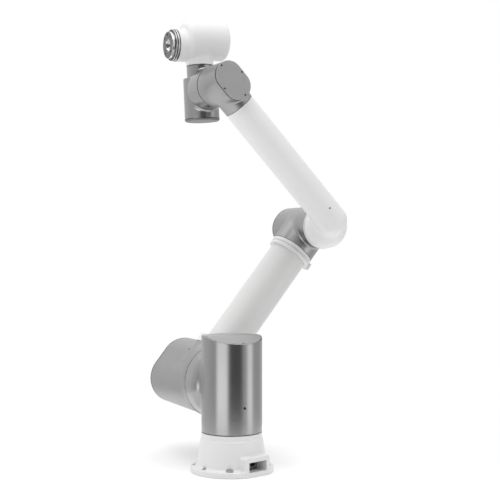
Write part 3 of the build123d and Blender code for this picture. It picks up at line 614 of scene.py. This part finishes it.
def f_base(P):
    r = np.hypot(P[:, 0], P[:, 1])
    z = P[:, 2]
    flange = inter(inter(r - flange_r, z - flange_t, 2.0), -z, 0.4)
    # the pedestal: a straight taper with a short neck on top
    k = (foot_r - neck_r - 1.2) / (base_top - 13.0 - flange_t)
    cone = (r - (foot_r - k * (z - flange_t))) / math.hypot(1, k)
    neck = inter(r - neck_r, z - base_top, 1.0)
    body = union(inter(inter(cone, z - (base_top - 12.0), 1.6), -z), inter(neck, 60 - z), 0.6)
    d = union(flange, body, 6.0)
    u, w = P @ BOXU, P @ BOXN
    box = box2(u, z - (box_h / 2 - 3), box_w / 2, box_h / 2 + 3, 5.0)
    box = inter(inter(box, w - box_front, 1.6), 40 - w)
    d = union(d, box, 3.0)
    d = inter(d, w - box_front, 1.0)
    d = inter(d, -z, 0.5)
    d = cut(d, inter(box2(u, z - open_z, open_w / 2, open_h / 2, 1.5), 40 - w), 0.8)
    for i in range(4):
        a = radians(box_angle + 45 + 90 * i)
        q = np.hypot(P[:, 0] - bolt_pcd / 2 * cos(a), P[:, 1] - bolt_pcd / 2 * sin(a))
        d = cut(d, q - 4.5, 0.4)
        d = cut(d, inter(inter(q - 8.2, flange_t - 3 - z), z - flange_t - 5, 3.0), 0.8)
    for s in (90, -90):
        a = radians(box_angle + s)
        q = np.hypot(P[:, 0] - bolt_pcd / 2 * cos(a), P[:, 1] - bolt_pcd / 2 * sin(a))
        d = cut(d, q - 3.0, 0.3)
        d = cut(d, inter(inter(q - 6.0, flange_t - 2 - z), z - flange_t - 3, 2.0), 0.8)
    cav = union(inter(r - 60.0, z - 60.0, 8.0), inter(r - 22.0, z - 200))
    cav = union(cav, inter(r - 64.0, z - 5.0))
    return cut(d, cav, 0.5)


# ------------------------------------------------------------------ shoulder
ang = (can_z1 - slope_z) / (can_r + slope_y)


def f_shoulder(P):
    d = cyl(P, np.zeros(3), Z, can_r, can_z0, 400, 0.4, 0)
    n = np.array([0, -ang, 1]) / math.hypot(1, ang)
    top = inter(slab(P, np.array([0, slope_y, can_z1]), n), P[:, 2] - can_z1, 0.0)
    top = np.maximum(slab(P, np.array([0, slope_y, can_z1]), n), P[:, 2] - can_z1)
    d = inter(d, top, 1.0)
    boss = cyl(P, J2, Y, j2_r, 3.0, j2_y0 - gap, 36.0, 0.5)
    d = union(d, boss, 9.0)
    t, q = axial(P, np.zeros(3), Z)
    seat = np.maximum(q - 66.4, -(top + 5.0))
    d = cut(d, seat, 0.5)
    inner = np.maximum(q - 55.0, can_z0 + 10 - P[:, 2])
    d = cut(d, inner, 0.5)
    hole = inter(np.hypot(P[:, 0], P[:, 2] - 149.7) - 2.6, P[:, 1] + 40)
    return cut(d, hole, 0.8)


# ------------------------------------------------------------------ upper arm
ARMU = np.array([c2, 0, -s2])


def f_j2(P):
    d = cyl(P, J2, Y, j2_r, j2_y0, j2_y0 + 31.0, 0.5, 12.0)
    body = slot_cyl(P, J2, Y, ARMU, j2_r, j2_flat, j2_y0 + 10, j2_y1 - 5.2, 0.5)
    d = union(d, body, 4.0)
    t, q = axial(P, AP, ARM)
    neck = inter(q - j2_flat, t - sock0, 0.8)
    neck = inter(neck, -t)
    d = union(d, neck, 5.0)
    d = cut(d, inter(q - sock_r - 0.4, sock0 - t), 0.6)
    p = P - (J2 + Y * (arm_y + 20) - ARMU * 50 + ARM * 33)
    hole = inter(np.hypot(p @ Y, p @ ARM) - 3.6, p @ ARMU - 9)
    return cut(d, hole, 1.0)


def f_j3(P):
    d = cyl(P, J3, Y, j3_r, j3_y0, arm_y, 0.8, 0)
    body = slot_cyl(P, J3, Y, ARMU, j3_r, j3_flat, arm_y - 10, j3_y1 - 4.6, 0.5)
    d = union(d, body, 2.0)
    t, q = axial(P, AP, ARM)
    neck = inter(inter(q - (clamp_r - 0.5), clamp1 + 0.1 - t, 0.6), t - arm_len)
    return union(d, neck, 5.0)


# ------------------------------------------------------------------ forearm
def f_forearm(P):
    c = J3 + Y * dome_y
    back = cyl(P, J3, Y, elbow_r, dome_y, elbow_y1 - 4.4, 0, 0.8)
    dome = np.maximum(np.linalg.norm(P - c, axis=-1) - elbow_r, P[:, 1] - dome_y)
    elbow = np.minimum(back, dome)
    t, q = axial(P, FP, FORE)
    tube = np.hypot(q, np.minimum(t - tube_end, 0)) - fore_r
    tube = inter(tube, t - fore_end, 0.5)
    d = union(elbow, tube, 16.0)
    d = inter(d, P[:, 1] - (elbow_y1 - 4.4), 0.8)
    c = FP + FORE * 59.3
    hole = inter(np.hypot(P[:, 0] - c[0], P[:, 2] - c[2]) - 2.4, P[:, 1] - (fore_y - 28))
    return cut(d, hole, 0.8)


FOREU = np.array([c3, 0, -s3])


def f_w1(P):
    # round at the joint, easing into the lid's obround
    t, q = axial(P, J4, Y)
    p = P - J4
    x, y = p @ FOREU, p @ FORE
    slot = np.hypot(x, np.maximum(np.abs(y) - (w1_r - w1_flat), 0)) - w1_flat
    k = np.clip((t + 32.0) / 62.0, 0, 1)
    k = k * k * (3 - 2 * k)
    d = slot * (1 - k) + (q - w1_r) * k
    d = inter(inter(d, w1_y0 + 4.6 - t, 0.5), t - w1_y1, 0.5)
    t, q = axial(P, FP, FORE)
    neck = inter(inter(q - fore_r, fore_end + 0.2 - t, 0.5), t - fore_len)
    return union(d, neck, 5.0)


def f_w2(P):
    d = cyl(P, W2, UP5, w2_r, w2_low + 5.0, w2_high, 0.6, 2.5)
    d = union(d, cyl(P, W2, UP5, out_r, w2_high - 20, w2_top, 0, 0.8), 3.0)
    boss = cyl(P, J4, Y, boss_r, w1_y1 + gap, w2_y - 22, 0.9, 14.0)
    return union(d, boss, 7.0)


def f_head(P):
    up = W3 + UP5 * head_up
    d = cyl(P, up, TOOL, head_r, -head_end, 41.0, 9.0, 17.0)
    nose = cyl(P, W3, TOOL, nose_r, 0, -nose_x, 0, 1.2)
    d = union(d, nose, 6.0)
    neck = cyl(P, W2, UP5, out_r + 0.6, w2_top + gap, w3_h, 0.8, 0)
    return union(d, neck, 5.0)


def bounds_of(points, pad):
    p = np.array(points, float)
    return p.min(0) - pad, p.max(0) + pad


fine = 1.0
q = 1.0
JOBS = [
    ("base_shell", f_base, (-95, -95, 0), (95, 95, 89), 1.5, "base_casting", "base", "white_paint", mat_white),
    ("shoulder_can", f_shoulder, (-86, -70, 89), (86, 73, 307), 1.8, "shoulder_housing", "shoulder", "grey_metal", mat_can),
    ("joint_2_casing", f_j2, (-87, 73, 108), (110, 323, 290), 2.0, "joint_2_housing", "upper_arm", "grey_metal", mat_j2),
    ("joint_3_casing", f_j3, (190, 92, 460), (342, 263, 611), 1.7, "joint_3_housing", "upper_arm", "grey_metal", mat_j3),
    ("forearm_casing", f_forearm, (-10, -20, 500), (342, 90, 870), 1.8, "forearm_shell", "forearm", "white_paint", mat_elbow_painted_light),
    ("wrist_1_casing", f_w1, (-64, -38, 805), (60, 56, 928), 1.2, "wrist_1_housing", "forearm", "grey_metal", mat_w1),
    ("wrist_2_casing", f_w2, (-68, 54, 805), (36, 188, 942), 1.3, "wrist_2_housing", "wrist_2", "grey_metal", mat_w2),
    ("wrist_3_casing", f_head, (-92, 96, 938), (52, 194, 1050), 1.3, "wrist_3_housing", "wrist_3", "white_paint", mat_head_painted_light),
]
for name, f, lo, hi, step, node, body, slot, m in JOBS:
    ob = mesh_from_field(name, f, lo, hi, step * q)
    stand_for(ob, node, body, m)

# tool flange ring: polished, stepped, with a groove that its material paints dark as shade
prof = [(10.0, -20.0), (14.9, -20.0), (14.9, 0.05), (ring_r - 2.4, 0.05), (ring_r - 2.4, 0.7), (ring_r - 0.2, 1.1), (ring_r, 2.0),
        (ring_r, 4.2), (ring_r - 0.6, 5.0), (ring_r - 3.2, 5.3), (ring_r - 3.2, 6.2), (ring_r - 0.9, 6.6), (ring_r - 0.6, 7.4),
        (ring_r - 0.6, 9.2), (ring_r - 2.0, 10.35), (10.0, 10.35)]
ring = ring_mesh("tool_ring", rounded(prof, 0.35, 4), o6, TOOL, Y)
stand_for(ring, "tool_flange_ring", "tool_flange", mat_chrome)

# ------------------------------------------------------------------ stage, camera, light
me = bpy.data.meshes.new("floor")
bm = bmesh.new()
bmesh.ops.create_circle(bm, cap_ends=True, radius=0.62, segments=96)
bm.to_mesh(me)
bm.free()
floor = bpy.data.objects.new("floor", me)
scene.collection.objects.link(floor)


def build_floor(nt, bs):
    c = coords(nt)
    f = noise(nt, c, 3.0, 2.0)
    nt.links.new(mixc(nt, f, (0.94, 0.94, 0.94), (0.92, 0.92, 0.92)), bs.inputs["Base Color"])
    bs.inputs["Roughness"].default_value = 0.85
    bs.inputs["Specular IOR Level"].default_value = 0.1


floor.data.materials.append(make_mat("floor_paper", build_floor))

cam_data = bpy.data.cameras.new("camera")
cam = bpy.data.objects.new("camera", cam_data)
scene.collection.objects.link(cam)
cam_data.lens = 74.5
cam_data.sensor_width = 36.0
cam_data.clip_start = 0.05
cam_data.clip_end = 100.0
cam.location = (-0.974, -2.138, 0.500)
cam.rotation_euler = Vector((0.4305, 0.9026, 0.0)).to_track_quat("-Z", "Y").to_euler()
scene.camera = cam
bpy.context.view_layer.update()

VIEW = Vector((0.4305, 0.9026, 0.0))
RIGHT = Vector((0.9026, -0.4305, 0.0))
mid = Vector((0.05, 0.08, 0.5))


def softbox(name, az, el, dist, w, h, power, col=(1, 1, 1)):
    """A rectangular light seen from the object at az degrees right of the camera and el up."""
    d = (-VIEW * cos(radians(az)) + RIGHT * sin(radians(az))) * cos(radians(el)) + Vector((0, 0, sin(radians(el))))
    l = bpy.data.lights.new(name, "AREA")
    l.shape = "RECTANGLE"
    l.size, l.size_y = w, h
    l.energy = power
    l.color = col
    o = bpy.data.objects.new(name, l)
    o.location = mid + d * dist
    o.rotation_euler = (-d).to_track_quat("-Z", "Y").to_euler()
    scene.collection.objects.link(o)
    return o


softbox("top", -20, 70, 3.0, 2.0, 2.0, 22)

# the studio: a tall white screen on the left, a dark one on the right, a thin light strip
# further right and pale walls, under a bright ceiling
world = bpy.data.worlds.new("studio")
scene.world = world
world.use_nodes = True
nt = world.node_tree
for nd in list(nt.nodes):
    nt.nodes.remove(nd)
wo = nt.nodes.new("ShaderNodeOutputWorld")
seen = nt.nodes.new("ShaderNodeBackground")
seen.inputs[0].default_value = (1, 1, 1, 1)
seen.inputs[1].default_value = 1.0
env = nt.nodes.new("ShaderNodeBackground")
tc = nt.nodes.new("ShaderNodeTexCoord")
sep = nt.nodes.new("ShaderNodeSeparateXYZ")
nt.links.new(tc.outputs["Generated"], sep.inputs[0])


def dot(v):
    n = nt.nodes.new("ShaderNodeVectorMath")
    n.operation = "DOT_PRODUCT"
    nt.links.new(tc.outputs["Generated"], n.inputs[0])
    n.inputs[1].default_value = v
    return n.outputs["Value"]


at = nt.nodes.new("ShaderNodeMath")
at.operation = "ARCTAN2"
nt.links.new(dot(tuple(RIGHT)), at.inputs[0])
nt.links.new(dot(tuple(-VIEW)), at.inputs[1])
turn = nt.nodes.new("ShaderNodeMapRange")
turn.inputs["From Min"].default_value = -math.pi
turn.inputs["From Max"].default_value = math.pi
nt.links.new(at.outputs[0], turn.inputs["Value"])
rp = nt.nodes.new("ShaderNodeValToRGB")
BANDS = [(-180, 0.90), (-100, 0.80), (-62, 0.55), (-54, 2.1), (-18, 2.1), (-8, 0.10), (37, 0.08), (46, 0.60), (60, 0.70),
         (64, 1.8), (82, 1.8), (88, 0.70), (120, 0.65), (180, 0.90)]
cr = rp.color_ramp
while len(cr.elements) < len(BANDS):
    cr.elements.new(0.5)
for e, (a, v) in zip(cr.elements, BANDS):
    e.position = (a + 180) / 360
for e, (a, v) in zip(cr.elements, BANDS):
    e.color = (v, v, v, 1)
nt.links.new(turn.outputs["Result"], rp.inputs["Fac"])
upf = nt.nodes.new("ShaderNodeMapRange")
upf.interpolation_type = "SMOOTHSTEP"
upf.inputs["From Min"].default_value = 0.45
upf.inputs["From Max"].default_value = 0.75
nt.links.new(sep.outputs["Z"], upf.inputs["Value"])
dnf = nt.nodes.new("ShaderNodeMapRange")
dnf.interpolation_type = "SMOOTHSTEP"
dnf.inputs["From Min"].default_value = -0.35
dnf.inputs["From Max"].default_value = -0.65
nt.links.new(sep.outputs["Z"], dnf.inputs["Value"])
low = nt.nodes.new("ShaderNodeMapRange")
low.interpolation_type = "SMOOTHSTEP"
low.inputs["From Min"].default_value = -0.10
low.inputs["From Max"].default_value = 0.02
nt.links.new(sep.outputs["Z"], low.inputs["Value"])
rp2 = nt.nodes.new("ShaderNodeValToRGB")
HIGH = [(-180, 0.95), (-100, 0.90), (-62, 0.70), (-50, 0.55), (-20, 0.50), (-5, 0.16), (38, 0.14), (46, 0.80), (60, 0.85),
        (65, 1.10), (82, 1.10), (88, 0.70), (120, 0.60), (180, 0.80)]
while len(rp2.color_ramp.elements) < len(HIGH):
    rp2.color_ramp.elements.new(0.5)
for e, (a, v) in zip(rp2.color_ramp.elements, HIGH):
    e.position = (a + 180) / 360
for e, (a, v) in zip(rp2.color_ramp.elements, HIGH):
    e.color = (v, v, v, 1)
nt.links.new(turn.outputs["Result"], rp2.inputs["Fac"])
side_mix = mixc(nt, low.outputs["Result"], rp.outputs["Color"], rp2.outputs["Color"])
up_mix = mixc(nt, upf.outputs["Result"], side_mix, (1.45, 1.45, 1.45))
dn_mix = mixc(nt, dnf.outputs["Result"], up_mix, (1.15, 1.15, 1.15))
nt.links.new(dn_mix, env.inputs["Color"])
env.inputs[1].default_value = 1.0
lp = nt.nodes.new("ShaderNodeLightPath")
mx = nt.nodes.new("ShaderNodeMixShader")
nt.links.new(lp.outputs["Is Camera Ray"], mx.inputs[0])
nt.links.new(env.outputs[0], mx.inputs[1])
nt.links.new(seen.outputs[0], mx.inputs[2])
nt.links.new(mx.outputs[0], wo.inputs[0])
scene.view_settings.view_transform = "Standard"
